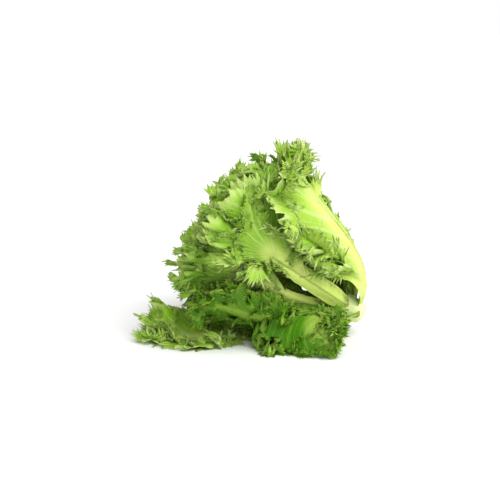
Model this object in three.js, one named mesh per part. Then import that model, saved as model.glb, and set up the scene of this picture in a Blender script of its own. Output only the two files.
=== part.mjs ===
// A head of frilly iceberg lettuce, lying on its side: a short cut stem and the leaves that grow from it.
// Every leaf is one closed sheet with a thick rib along its back. Millimetres, +Z up.
import * as THREE from 'three';
import { mergeVertices } from 'three/addons/utils/BufferGeometryUtils.js';

// ---- the head as a whole ----
const AXIS_RISE = 33;          // degrees that the head's axis rises from the table, towards -X
const BASE_HEIGHT = 27;        // height of the cut face's centre above the table
const PRESS_DEPTH = 6;         // leaves this close above the table start to flatten against it
const PRESSED_STACK = 40;      // height of the whole stack of leaves where it is pressed flat
const LAYER_STEP = 46;         // length of stem that the leaves grow from
const FIRST_LEAF = 1.5;        // height on the stem of the outermost leaf

// Angles between leaf and axis, at the leaf's foot, middle and tip, outermost and innermost leaf.
const FOOT_ANGLES = [78, 8];
const MIDDLE_ANGLES = [-4, 1];
const TIP_ANGLES = [30, 0];

// ---- the stem: [distance along the axis, radius] from the cut face to the growing tip ----
const STEM_OUTLINE = [
  [-7, 9.5], [-5.5, 11.2], [0, 12.2], [6, 13], [16, 13.6], [26, 11.5], [36, 8], [45, 4.5], [51, 2],
];
const STEM_CAP_STEP = 0.8;     // the growing tip ends this far past the last ring
const STEM_SIDES = 24;

// ---- one leaf's section ----
const BLADE_HALF = 0.8;        // half the blade's thickness
const RIB_AT_FOOT = 2.2;       // how far the rib stands out behind the blade at the foot
const RIB_AT_TIP = 0.3;
const FOOT_HALF_WIDTH = 6.6;   // half width of the leaf stalk where it leaves the stem
const STALK_HALF_WIDTH = 10.5;
const GAP = 0.5;               // air between a leaf's foot and the stem
const TIP_BLUNTNESS = 0.965;   // 1 would end the leaf in a point
const RAKE_ROUNDING = 8;       // a raked leaf's lines bend over this width beside the rib

const FINE = { rows: [0, 0.05, 0.11, 0.19, 0.29, 0.40, 0.52, 0.64, 0.76, 0.87, 0.95, 1], columns: 8 };
const COARSE = { rows: [0, 0.07, 0.16, 0.28, 0.42, 0.57, 0.72, 0.86, 0.95, 1], columns: 6 };

const radians = THREE.MathUtils.degToRad;
const lerp = THREE.MathUtils.lerp;
const clamp = THREE.MathUtils.clamp;

const rise = radians(AXIS_RISE);
const axis = new THREE.Vector3(-Math.cos(rise), 0, Math.sin(rise));
const topward = new THREE.Vector3(Math.sin(rise), 0, Math.cos(rise));
const frontward = new THREE.Vector3(0, -1, 0);

// Unit vector out of the axis: 0 degrees is the head's upper side, 90 its front, 180 the side it lies on.
function outward(turn) {
  const t = radians(turn);
  return topward.clone().multiplyScalar(Math.cos(t)).addScaledVector(frontward, Math.sin(t));
}

// Unit vector from a compass heading (0 is +X, 270 the front) and a rise above the level.
function heading(turn, up) {
  const t = radians(turn);
  const e = radians(up);
  return new THREE.Vector3(Math.cos(e) * Math.cos(t), Math.cos(e) * Math.sin(t), Math.sin(e));
}

function ease(low, high, x) {
  const t = clamp((x - low) / (high - low), 0, 1);
  return t * t * (3 - 2 * t);
}

function stemRadius(along) {
  for (let i = 1; i < STEM_OUTLINE.length; i++) {
    const [h0, r0] = STEM_OUTLINE[i - 1];
    const [h1, r1] = STEM_OUTLINE[i];
    if (along <= h1) {
      return lerp(r0, r1, clamp((along - h0) / (h1 - h0), 0, 1));
    }
  }
  return STEM_OUTLINE[STEM_OUTLINE.length - 1][1];
}

// ---- leaves in nested layers ----
// layer 0 is the outermost, 1 the innermost; turn is the side of the head the leaf grows on.
// Each leaf is part of a goblet around the axis, and each goblet lies inside the one before.
// start is where the blade begins to widen; skew makes one half wider; rake draws the sides towards the tip.
const USUAL = { sweep: 0, start: 0.16, stalk: 1, broad: 1, skew: 0, rake: 0, blunt: 0.7, grid: FINE };

function layered(name, turn, layer, length, width, extra = {}) {
  return { ...USUAL, name, turn, layer, length, width, ...extra };
}

// ---- leaves that have fallen open ----
// way and face give three headings of the rib and of the leaf's upper face: foot, middle, tip.
function fallen(name, turn, foot, length, width, way, face, cup, extra = {}) {
  return { ...USUAL, name, turn, foot, length, width, way, face, cup, ...extra };
}

const leaves = [
  fallen('outer_leaf_01', 93, -1, 114, 112, [[235, 15], [210, 3], [369, -23]],
    [[225, 20], [247, 50], [248, 0]], [0.02, -0.006], { start: 0.5, skew: 0.39 }),
  fallen('outer_leaf_02', 168, 0, 220, 120, [[188, -24], [180, 22], [187, -16]],
    [[250, 88], [268, 66], [268, 40]], [0.02, -0.004], { start: 0.5 }),
  layered('outer_leaf_03', 281, 0, 192, 130),
  layered('outer_leaf_04', 14, 0.02, 188, 134,
    { angles: [74, -26, 52], start: -0.2, stalk: 1.2, skew: 0.36, rake: 0.2, blunt: 0.8 }),
  layered('outer_leaf_05', 106, 0.39, 182, 118,
    { sweep: 14, start: 0.62, stalk: 0.85, broad: 0.8, skew: -0.3, rake: 0.5 }),
  layered('outer_leaf_06', 221, 0, 180, 112, { start: 0.3 }),
  layered('outer_leaf_07', 240, 0.19, 190, 125),
  layered('outer_leaf_08', 311, 0.09, 184, 126),
  layered('outer_leaf_09', 80, 0.27, 206, 116, { start: 0.46, broad: 1.05, skew: -0.4 }),
  layered('outer_leaf_10', 138, 0.19, 172, 122, { start: 0.05, skew: 0.2 }),
  layered('outer_leaf_11', 188, 0.275, 165, 122),
  layered('outer_leaf_12', 284, 0.34, 194, 122),
  layered('outer_leaf_13', 350, 0.2, 170, 110, { angles: [64, -12, 36] }),
];

const FIRST_TURN = 20;
const GOLDEN_TURN = 137.5;
const MIDDLE_LENGTHS = [178, 168, 178, 188, 172, 168, 172, 162];
const INNER_LEAVES = 5;
MIDDLE_LENGTHS.forEach((length, i) => {
  const turn = FIRST_TURN + GOLDEN_TURN * i;
  const extra = { start: 0.4, grid: COARSE };
  leaves.push(layered(`middle_leaf_0${i + 1}`, turn, 0.37 + 0.042 * i, length, 114 - 3 * i, extra));
});
for (let i = 0; i < INNER_LEAVES; i++) {
  const turn = FIRST_TURN + GOLDEN_TURN * (MIDDLE_LENGTHS.length + i);
  const extra = { stalk: 0.7, grid: COARSE };
  leaves.push(layered(`inner_leaf_0${i + 1}`, turn, 0.72 + 0.055 * i, 146 - 17 * i, 84 - 12 * i, extra));
}

// The goblet a layered leaf lies on: points [along the leaf, radius, distance along the axis].
const BEYOND_TIP = 1.25;       // a raked side reaches past the rib's end
function goblet(leaf) {
  const steps = 96;
  const usual = [FOOT_ANGLES, MIDDLE_ANGLES, TIP_ANGLES].map(([out, heart]) => lerp(out, heart, leaf.layer));
  const [foot, middle, tip] = leaf.angles ?? usual;
  const start = FIRST_LEAF + LAYER_STEP * leaf.layer;
  const angle = (q) => radians((1 - q) ** 2 * foot + 2 * q * (1 - q) * middle + q * q * tip);
  const step = leaf.length / steps;
  const points = [[0, stemRadius(start) + GAP + BLADE_HALF * Math.cos(angle(0)), start]];
  for (let i = 0; i < steps * BEYOND_TIP; i++) {
    const [along, radius, up] = points[i];
    const a = angle((i + 0.5) / steps);
    points.push([along + step, radius + step * Math.sin(a), up + step * Math.cos(a)]);
  }
  return points;
}

function between(points, along, step) {
  const i = clamp(Math.floor(along / step), 0, points.length - 2);
  const f = along / step - i;
  return points[i].map((value, k) => lerp(value, points[i + 1][k], f));
}

function layeredSurface(leaf) {
  const points = goblet(leaf);
  const step = points[1][0];
  const most = radians(150);
  return (across, along) => {
    const [, radius, up] = between(points, along, step);
    const wrap = most * Math.tanh(across / Math.max(radius, 6) / most);
    const turn = leaf.turn + leaf.sweep * (along / leaf.length) ** 2 + THREE.MathUtils.radToDeg(wrap);
    return axis.clone().multiplyScalar(up).addScaledVector(outward(turn), radius);
  };
}

function fallenSurface(leaf) {
  const steps = 96;
  const step = leaf.length / steps;
  const way = leaf.way.map(([turn, up]) => heading(turn, up));
  const face = leaf.face.map(([turn, up]) => heading(turn, up));
  const mix = (v, q) => v[0].clone().multiplyScalar((1 - q) ** 2)
    .addScaledVector(v[1], 2 * q * (1 - q))
    .addScaledVector(v[2], q * q);
  const tangent = (q) => mix(way, q).normalize();
  const rib = [axis.clone().multiplyScalar(leaf.foot)
    .addScaledVector(outward(leaf.turn), stemRadius(leaf.foot) + GAP + 2)];
  for (let i = 0; i < steps; i++) {
    rib.push(rib[i].clone().addScaledVector(tangent((i + 0.5) / steps), step));
  }
  return (across, along) => {
    const q = along / leaf.length;
    const i = clamp(Math.floor(along / step), 0, steps - 1);
    const point = rib[i].clone().lerp(rib[i + 1], along / step - i);
    const t = tangent(q);
    const up = mix(face, q);
    up.addScaledVector(t, -up.dot(t)).normalize();
    const side = new THREE.Vector3().crossVectors(t, up);
    const bend = lerp(leaf.cup[0], leaf.cup[1], ease(0.1, 0.8, q));
    const turn = bend * across;
    const reach = Math.abs(turn) < 1e-4 ? across : Math.sin(turn) / bend;
    const lift = Math.abs(turn) < 1e-4 ? 0.5 * bend * across * across : (1 - Math.cos(turn)) / bend;
    return point.addScaledVector(side, reach).addScaledVector(up, lift);
  };
}

// What would sink into the table bends smoothly to lie on it, each layer on the one below.
function pressed(point, layer) {
  const low = BLADE_HALF + PRESSED_STACK * Math.max(layer, 0) - BASE_HEIGHT;
  const d = point.z - low;
  if (d < PRESS_DEPTH) {
    point.z = low + Math.max(d + PRESS_DEPTH, 0) ** 2 / (4 * PRESS_DEPTH);
  }
  return point;
}

// side is -1 or 1 for the two halves of the leaf.
function halfWidth(leaf, q, side) {
  const bare = lerp(FOOT_HALF_WIDTH, STALK_HALF_WIDTH * leaf.broad, ease(0, 0.2, q));
  const stalk = leaf.stalk * bare * (1 - 0.25 * q);
  const blade = leaf.width / 2 * (1 + leaf.skew * side) * ease(leaf.start, 0.78, q);
  const end = Math.sqrt(1 - clamp((q - leaf.blunt) / (1 - leaf.blunt), 0, 1) ** 2.2 * TIP_BLUNTNESS ** 2);
  return Math.cbrt(stalk ** 3 + blade ** 3) * end;
}

// Point of the leaf's middle surface, pressed against the table.
function leafPoint(leaf, surface, across, along) {
  const raked = along + leaf.rake * (Math.hypot(across, RAKE_ROUNDING) - RAKE_ROUNDING);
  return pressed(surface(across, raked), leaf.layer ?? 0);
}

// A closed sheet: an upper and an under side, joined by a rim, with the rib standing out underneath.
function leafGeometry(leaf) {
  const surface = leaf.way ? fallenSurface(leaf) : layeredSurface(leaf);
  const { rows, columns } = leaf.grid;
  const at = (across, along) => leafPoint(leaf, surface, across, along);
  const upper = [];
  const under = [];
  for (const q of rows) {
    const along = q * leaf.length;
    for (let j = 0; j <= columns; j++) {
      const place = 2 * j / columns - 1;
      const across = place * halfWidth(leaf, q, Math.sign(place));
      const point = at(across, along);
      const low = clamp(along - 0.5, 0, leaf.length);
      const high = clamp(along + 0.5, 0, leaf.length);
      const down = at(across, high).sub(at(across, low));
      const over = at(across + 0.5, along).sub(at(across - 0.5, along));
      const normal = over.cross(down).normalize();
      const rib = lerp(RIB_AT_FOOT, RIB_AT_TIP, ease(0, 0.8, q)) * Math.exp(-((across / 9) ** 2));
      upper.push(point.clone().addScaledVector(normal, BLADE_HALF));
      const back = point.clone().addScaledVector(normal, -BLADE_HALF - rib);
      back.z = Math.max(back.z, -BASE_HEIGHT);
      under.push(back);
    }
  }
  const points = [...upper, ...under];
  const wide = columns + 1;
  const index = [];
  const quad = (a, b, c, d) => index.push(a, b, c, a, c, d);
  for (let r = 0; r < rows.length - 1; r++) {
    for (let j = 0; j < columns; j++) {
      const v = r * wide + j;
      quad(v, v + 1, v + wide + 1, v + wide);
      const w = v + upper.length;
      quad(w, w + wide, w + wide + 1, w + 1);
    }
    const left = r * wide;
    const right = left + columns;
    quad(left, left + wide, left + wide + upper.length, left + upper.length);
    quad(right, right + upper.length, right + wide + upper.length, right + wide);
  }
  const last = (rows.length - 1) * wide;
  for (let j = 0; j < columns; j++) {
    quad(j, j + upper.length, j + 1 + upper.length, j + 1);
    quad(last + j, last + j + 1, last + j + 1 + upper.length, last + j + upper.length);
  }
  const geometry = new THREE.BufferGeometry();
  geometry.setAttribute('position', new THREE.Float32BufferAttribute(points.flatMap((p) => p.toArray()), 3));
  geometry.setIndex(index);
  return geometry;
}

function stemGeometry() {
  const first = STEM_OUTLINE[0][0];
  const last = STEM_OUTLINE[STEM_OUTLINE.length - 1][0];
  const outline = [[first, 0], ...STEM_OUTLINE, [last + STEM_CAP_STEP, 0]];
  const profile = outline.map(([along, radius]) => new THREE.Vector2(radius, along));
  const lathe = new THREE.LatheGeometry(profile, STEM_SIDES);
  lathe.deleteAttribute('normal');
  lathe.deleteAttribute('uv');
  const geometry = mergeVertices(lathe, 1e-3);
  geometry.applyQuaternion(new THREE.Quaternion().setFromUnitVectors(new THREE.Vector3(0, 1, 0), axis));
  return geometry;
}

const finishes = {
  stem: new THREE.MeshStandardMaterial({ color: '#dceba0', roughness: 0.5, metalness: 0 }),
  outer: new THREE.MeshStandardMaterial({ color: '#6f9c26', roughness: 0.45, metalness: 0 }),
  middle: new THREE.MeshStandardMaterial({ color: '#93b84a', roughness: 0.45, metalness: 0 }),
  inner: new THREE.MeshStandardMaterial({ color: '#cfe08a', roughness: 0.45, metalness: 0 }),
};

const lettuce = new THREE.Group();
const stem = new THREE.Mesh(stemGeometry(), finishes.stem);
stem.name = 'stem';
lettuce.add(stem);
for (const leaf of leaves) {
  const mesh = new THREE.Mesh(leafGeometry(leaf), finishes[leaf.name.split('_')[0]]);
  mesh.name = leaf.name;
  lettuce.add(mesh);
}

// The origin is under the middle of the head, on the table.
const box = new THREE.Box3().setFromObject(lettuce);
const centre = box.getCenter(new THREE.Vector3());
for (const mesh of lettuce.children) {
  mesh.position.set(-centre.x, -centre.y, BASE_HEIGHT);
}

export default lettuce;
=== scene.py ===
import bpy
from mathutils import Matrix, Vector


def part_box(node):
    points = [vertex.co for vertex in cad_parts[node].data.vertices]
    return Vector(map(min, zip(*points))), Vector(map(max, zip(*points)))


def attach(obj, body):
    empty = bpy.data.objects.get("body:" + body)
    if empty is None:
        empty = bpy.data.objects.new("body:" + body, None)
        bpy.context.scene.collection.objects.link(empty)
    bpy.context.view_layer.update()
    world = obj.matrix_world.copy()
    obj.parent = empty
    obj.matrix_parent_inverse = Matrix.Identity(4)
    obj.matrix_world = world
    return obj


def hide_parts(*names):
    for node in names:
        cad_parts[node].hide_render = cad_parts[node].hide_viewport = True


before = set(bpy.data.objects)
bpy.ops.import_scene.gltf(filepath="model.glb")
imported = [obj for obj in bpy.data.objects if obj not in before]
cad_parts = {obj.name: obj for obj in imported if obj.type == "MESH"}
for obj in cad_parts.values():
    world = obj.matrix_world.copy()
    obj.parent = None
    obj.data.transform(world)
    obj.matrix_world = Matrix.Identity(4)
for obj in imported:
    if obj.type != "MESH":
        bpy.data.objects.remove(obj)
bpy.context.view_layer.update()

import math

import bpy
import numpy as np
from bpy.props import FloatProperty, FloatVectorProperty, PointerProperty
from mathutils import Vector

bl_info = {
    "name": "Frilly Iceberg Lettuce",
    "version": (1, 0, 0),
    "blender": (4, 5, 0),
    "location": "View3D > Sidebar > Lettuce",
    "description": "A head of frilly iceberg lettuce: cut stem, outer, middle and inner leaves",
    "category": "Add Mesh",
}

MM = 0.001

# ---- the head as a whole, in millimetres and degrees ----
AXIS_RISE = 33.0                # the head's axis rises from the table towards -X
BASE_HEIGHT = 27.0              # the cut face's centre above the table
PRESS_DEPTH = 6.0               # how gently a leaf bends where it comes to lie flat
PRESSED_STACK = 40.0            # height of the leaves that lie on each other, from layer 0 to layer 1
FIRST_LEAF = 1.5                # where on the stem layer 0 starts
LAYER_STEP = 46.0               # distance along the stem from layer 0 to layer 1
MOST_WRAP = math.radians(150)   # how far a leaf can reach around the axis to each side
LEAST_RADIUS = 6.0              # no leaf is wrapped tighter than this
# slope of a leaf from the axis, for layer 0 and layer 1
FOOT_ANGLES = (78.0, 8.0)
MIDDLE_ANGLES = (-4.0, 1.0)
TIP_ANGLES = (30.0, 0.0)
# the stem: distance along the axis and radius
STEM_OUTLINE = ((-7, 9.5), (-5.5, 11.2), (0, 12.2), (6, 13), (16, 13.6), (26, 11.5), (36, 8), (45, 4.5),
                (51, 2))
STEM_SIDES = 96
STEM_TOP = 0.8                  # how far the rounded top rises past the outline
CUT_EDGE = (-6.9, -5.2)         # the cut's colour fades out between these places

# ---- one leaf, in millimetres ----
BLADE_HALF = 0.8                # half the thickness of a leaf where it lies on another
GAP = 0.5                       # between the stem and a leaf's foot
FOOT_HALF_WIDTH = 6.6           # half the width of the stalk where it leaves the stem
STALK_HALF_WIDTH = 10.5         # and a fifth of the way along the leaf
RAKE_ROUND = 8.0                # rounds off a raked blade at its rib
FULL_FRILL_REACH = 45.0         # an edge this far from the rib is frilled fully
FAN_LEAN = 0.95                 # how steeply the fan's lines run up from the rib to the edge
EDGE_LEAN_WAVE = 150.0          # the edge leans out more and less over this length
# Waves of the blade, folds of the lobes and crimps of the edge: height, length, row where they begin,
# sideways share, and how many columns the surface below them is smoothed over
WAVES = (("ruffle_large", 42.0, 0.26, 0.10, 8),
         ("ruffle_medium", 15.0, 0.42, 0.09, 3),
         ("ruffle_small", 6.0, 0.60, 0.05, 1))

# ---- how finely a leaf is worked out ----
RIB_POINTS = 129
EDGE_SAMPLES = 800
RIB_ROWS = (0.0, 0.35, 0.7, 1.0, 1.4)           # the first rows, in half rib widths from the rib's middle
BLADE_ROWS = 19                                 # rows from there to the edge
COLUMN_ZONES = ((5, 8), (12, 4), (18, 2))       # up to which row only every so many columns are kept
FINGER_SHAPE = (0.0, 0.4, 1.0, 0.4)             # one pointed finger of the edge, column by column
FINGER_ROWS = (0.04, 0.18, 0.5, 1.0)            # share of the finger that the last rows take
FRILL_ROWS = (0.0, 0.25, 0.5, 0.72, 0.88, 1.0)  # rows of a small lobe, from its root to its tips
# the fringe mark places a painted highlight on the edge; the shade mark holds painted shade as well as age
MARKS = ("rib", "green", "fringe_highlight", "shade", "pale", "underside")    # what a material reads off a leaf

RISE = math.radians(AXIS_RISE)
AXIS = np.array([-math.cos(RISE), 0.0, math.sin(RISE)])
TOPWARD = np.array([math.sin(RISE), 0.0, math.cos(RISE)])
FRONTWARD = np.array([0.0, -1.0, 0.0])


def outward(turn):
    """Unit vectors out of the axis: 0 degrees is the head's upper side, 90 its front, 180 underneath."""
    t = np.radians(np.asarray(turn, float))[..., None]
    return np.cos(t) * TOPWARD + np.sin(t) * FRONTWARD


def heading(turn, up):
    """Unit vector from a compass heading (0 is +X, 270 the front) and a rise above the level."""
    t, e = math.radians(turn), math.radians(up)
    return np.array([math.cos(e) * math.cos(t), math.cos(e) * math.sin(t), math.sin(e)])


def unit(v):
    """Vectors divided by their lengths."""
    return v / np.maximum(np.linalg.norm(v, axis=-1, keepdims=True), 1e-9)


def ease(low, high, x):
    """Rises smoothly from 0 at low to 1 at high: three times the square minus twice the cube."""
    t = np.clip((np.asarray(x, float) - low) / (high - low), 0, 1)
    return t * t * (3 - 2 * t)


def lerp(a, b, t):
    """Straight mix from a (t = 0) to b (t = 1)."""
    return a + (b - a) * t


def quadratic(v, q):
    """Bezier mix of three values along q from 0 to 1."""
    return (1 - q) ** 2 * v[0] + 2 * q * (1 - q) * v[1] + q * q * v[2]


def stem_radius(along):
    """The stem's radius at a distance along the axis."""
    return np.interp(along, [p[0] for p in STEM_OUTLINE], [p[1] for p in STEM_OUTLINE])


# ---- the leaves ----
# Rings of small lobes around the blade: row from the rib (0) to the edge (1), size, fingers of a lobe.
OUTER_RINGS = ((0.97, 1.0, 6),)
SEEN_RINGS = ((0.98, 1.0, 9), (0.90, 0.9, 8), (0.78, 0.8, 7))
CREST_RINGS = ((0.98, 1.0, 9), (0.92, 1.3, 11), (0.82, 1.8, 13), (0.66, 2.0, 14))
COVER_RINGS = ((0.98, 1.0, 9), (0.90, 1.2, 10), (0.80, 1.3, 10), (0.68, 1.1, 8), (0.56, 0.9, 7),
               (0.42, 0.9, 7))
FALLEN_RINGS = ((0.98, 1.0, 9), (0.86, 1.2, 9), (0.73, 1.3, 9), (0.60, 1.3, 9), (0.47, 1.3, 8),
                (0.34, 1.2, 8), (0.20, 1.0, 7))
FRONT_RINGS = ((0.97, 0.7, 6), (0.86, 1.1, 8), (0.76, 1.1, 8), (0.66, 1.1, 8), (0.57, 1.1, 7),
               (0.48, 1.1, 7), (0.39, 1.1, 7), (0.30, 1.1, 7), (0.22, 1.0, 7), (0.14, 0.9, 6))
DENSE_RINGS = ((0.98, 0.9, 8), (0.85, 0.8, 7), (0.70, 0.8, 7), (0.54, 0.8, 6), (0.38, 0.8, 6),
               (0.22, 0.8, 6))

# What a leaf is like where its own entry says nothing else. Places along a leaf run from 0 (foot) to 1 (tip).
LEAF_DEFAULTS = dict(
    angles=None,        # slopes of its own from the axis at the foot, the middle and the tip
    sweep=0,            # degrees by which the tip is turned on around the axis
    rake=0.0,           # how far the sides run ahead of the rib
    start=0.16,         # place where the blade begins to widen
    blunt=0.68,         # place where the rounded end begins
    skew=0.0,           # how much wider one side is than the other
    stalk=1.0,          # width of the stalk
    broad=1.0,          # width of the rib
    rib_end=0.84,       # place where the rib ends
    columns=384,        # lines of the fan, a multiple of 16
    lobes=17,           # lobes of the blade
    rings=OUTER_RINGS,  # rings of small lobes
    facing=-1,          # face of the blade on which the inner rings stand
    flare=4.0,          # how far the edge leans out
    ruffle=1.0,         # strength of lobes and waves
    calm=1.0,           # how far the waves keep from the rib
    lee=1.0,            # how frilled the first side is
    greening=14.0,      # distance from the rib to the full green
    shade=0.5,          # from 0, young and pale, to 1, old and dark; also set dark to paint shade on a leaf that lies in shadow
)


def layered(name, turn, layer, length, width, **more):
    """A leaf on the goblet of its layer: 0 is the outermost, 1 the innermost."""
    leaf = dict(LEAF_DEFAULTS, name=name, turn=turn, layer=layer, length=length, width=width, **more)
    leaf.setdefault("pale", leaf["shade"])      # age of the rib, following the leaf's shade and so its painted shade too
    leaf.setdefault("frill", leaf["start"])     # place where the frill begins
    return leaf


def fallen(name, turn, foot, length, width, way, face, cup, **more):
    """A leaf that has fallen open: way and face give the headings of its rib and of its upper face."""
    leaf = layered(name, turn, 0.0, length, width, **more)
    leaf.update(foot=foot, way=way, face=face, cup=cup, facing=1)
    return leaf


OUTER_LEAVES = [
    # lies open in front of the stem, folded back over itself
    fallen("outer_leaf_01", 93, -1, 114, 112, ((235, 15), (210, 3), (369, -23)),
           ((225, 20), (247, 50), (248, 0)), (0.02, -0.006), start=0.5, frill=0.3, skew=0.39, shade=0.85,
           ruffle=0.8, columns=576, lobes=13, rings=FRONT_RINGS),
    # lies stretched out on the table at the left
    fallen("outer_leaf_02", 168, 0, 220, 120, ((188, -24), (180, 22), (187, -16)),
           ((250, 88), (268, 66), (268, 40)), (0.02, -0.004), start=0.5, frill=0.32, shade=0.2, calm=0.7,
           greening=6.0, columns=576, lobes=14, rings=FALLEN_RINGS),
    layered("outer_leaf_03", 281, 0.0, 192, 130, shade=0.8, columns=256),
    # arches over the whole head, with the broadest and palest rib
    layered("outer_leaf_04", 14, 0.02, 188, 134, angles=(74, -26, 52), start=-0.2, frill=0.24, skew=0.36,
            stalk=1.2, rake=0.2, rib_end=0.62, blunt=0.8, flare=0.0, lee=0.4, shade=0.05, greening=36.0,
            columns=576, rings=CREST_RINGS),
    # its bare stalk runs across the front
    layered("outer_leaf_05", 106, 0.39, 182, 118, start=0.62, frill=0.4, sweep=14, rib_end=0.66, rake=0.5,
            skew=-0.3, stalk=0.85, broad=0.8, shade=0.5, pale=0.08, greening=8.0, columns=448, lobes=16,
            rings=SEEN_RINGS),
    layered("outer_leaf_06", 221, 0.0, 180, 112, start=0.3, shade=0.9, columns=256),
    layered("outer_leaf_07", 240, 0.19, 190, 125, shade=0.75, columns=256),
    layered("outer_leaf_08", 311, 0.09, 184, 126, shade=0.4, flare=-8.0, ruffle=0.35),
    # opens as a broad fan above that stalk
    layered("outer_leaf_09", 80, 0.27, 206, 116, start=0.46, skew=-0.4, broad=1.05, rib_end=0.58, flare=-2.0,
            shade=0.45, pale=0.3, greening=7.0, columns=576, rings=COVER_RINGS),
    # crouches low at the front; full shade and short greening paint the shadow it lies in
    layered("outer_leaf_10", 138, 0.19, 172, 122, start=0.05, skew=0.2, calm=0.5, shade=1.0, greening=4.0,
            columns=576, lobes=18, rings=DENSE_RINGS),
    layered("outer_leaf_11", 188, 0.275, 165, 122, shade=0.8, columns=256),
    layered("outer_leaf_12", 284, 0.34, 194, 122, shade=0.4, columns=256),
    layered("outer_leaf_13", 350, 0.20, 170, 110, angles=(64, -12, 36), shade=0.35, flare=-4.0, ruffle=0.8),
]
GOLDEN_TURN = 137.5     # degrees from one leaf to the next around a stem
MIDDLE_LENGTHS = (178, 168, 178, 188, 172, 168, 172, 162)
MIDDLE_LEAVES = [
    layered("middle_leaf_%02d" % (i + 1), 20 + GOLDEN_TURN * i, 0.37 + 0.042 * i, length, 114 - 3 * i,
            start=0.4, shade=0.55 - 0.04 * i, columns=224, lobes=12, ruffle=0.9)
    for i, length in enumerate(MIDDLE_LENGTHS)
]
INNER_LEAVES = [
    layered("inner_leaf_%02d" % (i + 1), 20 + GOLDEN_TURN * (len(MIDDLE_LENGTHS) + i), 0.72 + 0.055 * i,
            146 - 17 * i, 84 - 12 * i, stalk=0.7, shade=0.18 - 0.03 * i, columns=128, lobes=9, ruffle=0.6,
            flare=1.0)
    for i in range(5)
]


# ---- the smooth surface of a leaf ----
def goblet(leaf):
    """Radius from the axis and distance along it, along the leaf: the slope follows the three angles."""
    slopes = (FOOT_ANGLES, MIDDLE_ANGLES, TIP_ANGLES)
    angles = leaf["angles"] or [lerp(*pair, leaf["layer"]) for pair in slopes]
    steps = RIB_POINTS - 1
    q = (np.arange(RIB_POINTS * 2) + 0.5) / steps
    angle = np.radians(quadratic(angles, q))
    step = leaf["length"] / steps
    start = FIRST_LEAF + LAYER_STEP * leaf["layer"]
    foot = stem_radius(start) + GAP + BLADE_HALF * math.cos(math.radians(angles[0]))
    radius = foot + np.concatenate([[0], np.cumsum(np.sin(angle[:-1]) * step)])
    up = start + np.concatenate([[0], np.cumsum(np.cos(angle[:-1]) * step)])
    keep = slice(0, int(RIB_POINTS * 1.25))
    return (np.arange(RIB_POINTS * 2) * step)[keep], radius[keep], up[keep]


def layered_surface(leaf, across, along):
    """Point on the goblet: the leaf's width is wrapped around the axis at the radius it has reached."""
    s, radius, up = goblet(leaf)
    r, h = np.interp(along, s, radius), np.interp(along, s, up)
    wrap = MOST_WRAP * np.tanh(across / np.maximum(r, LEAST_RADIUS) / MOST_WRAP)
    turn = leaf["turn"] + leaf["sweep"] * (along / leaf["length"]) ** 2 + np.degrees(wrap)
    return h[..., None] * AXIS + r[..., None] * outward(turn)


def fallen_surface(leaf, across, along):
    """Point beside a curved rib: the width bends into an arc in the plane across the rib."""
    way = [heading(*w) for w in leaf["way"]]
    face = [heading(*w) for w in leaf["face"]]
    steps = RIB_POINTS - 1
    step = leaf["length"] / steps
    middles = ((np.arange(RIB_POINTS) + 0.5) / steps)[:, None]
    foot = AXIS * leaf["foot"] + outward(leaf["turn"]) * (stem_radius(leaf["foot"]) + GAP + 2)
    rib = foot + np.concatenate([np.zeros((1, 3)), np.cumsum(unit(quadratic(way, middles)) * step, axis=0)])
    q = along / leaf["length"]
    places = np.arange(RIB_POINTS + 1) * step
    point = np.stack([np.interp(along, places, rib[:, k]) for k in range(3)], axis=-1)
    t = unit(quadratic(way, q[..., None]))
    up = quadratic(face, q[..., None])
    up = unit(up - (up * t).sum(-1, keepdims=True) * t)
    side = np.cross(t, up)
    bend = lerp(leaf["cup"][0], leaf["cup"][1], ease(0.1, 0.8, q))
    bend = np.where(np.abs(bend) < 1e-5, 1e-5, bend)
    turn = bend * across
    return point + (np.sin(turn) / bend)[..., None] * side + ((1 - np.cos(turn)) / bend)[..., None] * up


def pressed(p, layer):
    """What would sink into the table bends smoothly to lie on it, each layer on the one below."""
    low = BLADE_HALF + PRESSED_STACK * max(layer, 0) - BASE_HEIGHT
    d = p[..., 2] - low
    flat = low + np.maximum(d + PRESS_DEPTH, 0) ** 2 / (4 * PRESS_DEPTH)
    p[..., 2] = np.where(d < PRESS_DEPTH, flat, p[..., 2])
    return p


def leaf_surface(leaf, across, along):
    """Point of the smooth leaf: rake carries it on along the leaf the further it is from the rib."""
    along = along + leaf["rake"] * (np.sqrt(across * across + RAKE_ROUND ** 2) - RAKE_ROUND)
    surface = fallen_surface if "way" in leaf else layered_surface
    return pressed(surface(leaf, across, along), leaf["layer"])


def half_width(leaf, q, side=0):
    """Half the flat leaf's width at place q, on side -1 or 1.

    It is the cube root of the cubes of a slim stalk and of a blade that widens from its start to 0.78,
    brought to nothing at the tip by a rounded end.
    """
    stalk = lerp(FOOT_HALF_WIDTH, STALK_HALF_WIDTH * leaf["broad"], ease(0, 0.2, q))
    stalk = leaf["stalk"] * stalk * (1 - 0.25 * q)
    blade = leaf["width"] / 2 * (1 + leaf["skew"] * side) * ease(leaf["start"], 0.78, q)
    end = np.sqrt(np.maximum(1 - np.clip((q - leaf["blunt"]) / (1 - leaf["blunt"]), 0, 1) ** 2.3, 0))
    return np.cbrt(stalk ** 3 + blade ** 3) * end


def above_table(p):
    """Bends whatever would go through the table to stay just above it: its height decays exponentially."""
    floor = -BASE_HEIGHT + 0.5
    low = floor + 2 * np.exp(np.minimum(p[..., 2] - floor - 2, 0) / 2)
    p[..., 2] = np.where(p[..., 2] < floor + 2, low, p[..., 2])
    return p


# ---- helpers on a grid of points: rows run from the rib to the edge, columns along the edge ----
def wave_noise(rng, x, spacing):
    """Smooth random curve along x: cosines of three random phases near the given spacing, about -1 to 1."""
    total = np.zeros_like(x)
    for k in (0.6, 1.0, 1.7):
        total += np.cos(2 * math.pi * x / spacing * k * rng.uniform(0.85, 1.15) + rng.uniform(0, 2 * math.pi))
    return total / 2.2


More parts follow.
